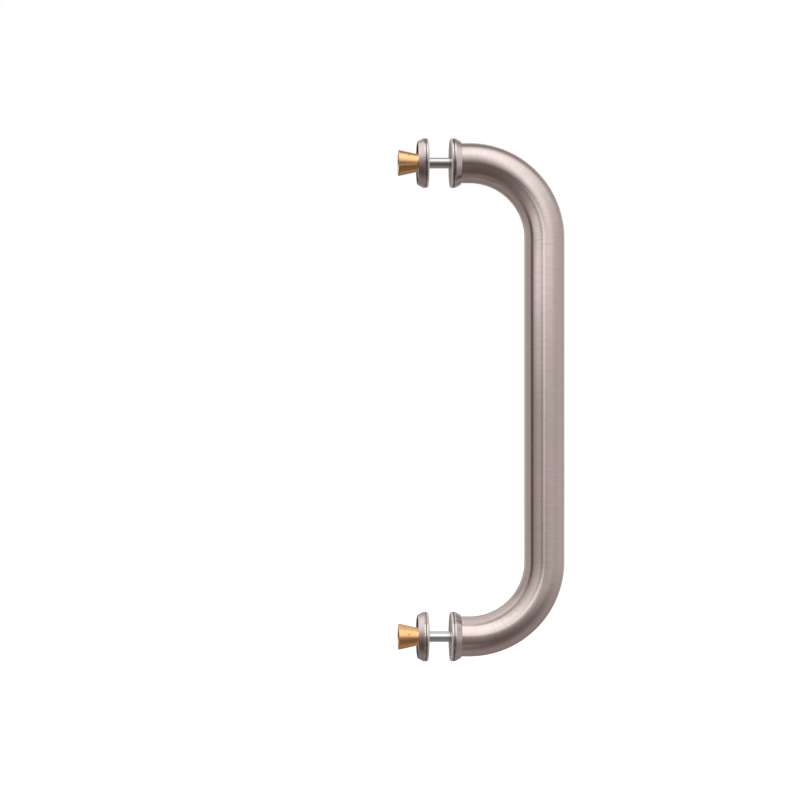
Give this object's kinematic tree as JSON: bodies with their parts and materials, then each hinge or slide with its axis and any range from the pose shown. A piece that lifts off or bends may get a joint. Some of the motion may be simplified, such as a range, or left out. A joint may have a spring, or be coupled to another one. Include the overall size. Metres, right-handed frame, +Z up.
{
  "type": "door pull handle",
  "caption": "D-shaped pull handle of bent satin steel tube, with cup roses, through bolts and brass cones that clamp it through a door.",
  "frame": {"origin": "on the door's near face, midway between the two bolts", "axes": "+X out of the door towards the grip, +Z up along the grip, +Y across the handle"},
  "size_m": [0.1056, 0.0314, 0.3314],
  "materials": {
    "satin_steel": "satin stainless steel, faintly brushed, warm pinkish grey",
    "zinc_steel": "bright zinc plated steel",
    "brass": "turned bright brass"
  },
  "bodies": {
    "root": {"handle_tube": "satin_steel", "upper_insert": "zinc_steel", "upper_near_rose": "satin_steel", "upper_far_rose": "satin_steel", "upper_cone": "brass", "upper_bolt": "zinc_steel", "lower_insert": "zinc_steel", "lower_near_rose": "satin_steel", "lower_far_rose": "satin_steel", "lower_cone": "brass", "lower_bolt": "zinc_steel"}
  },
  "joints": []
}
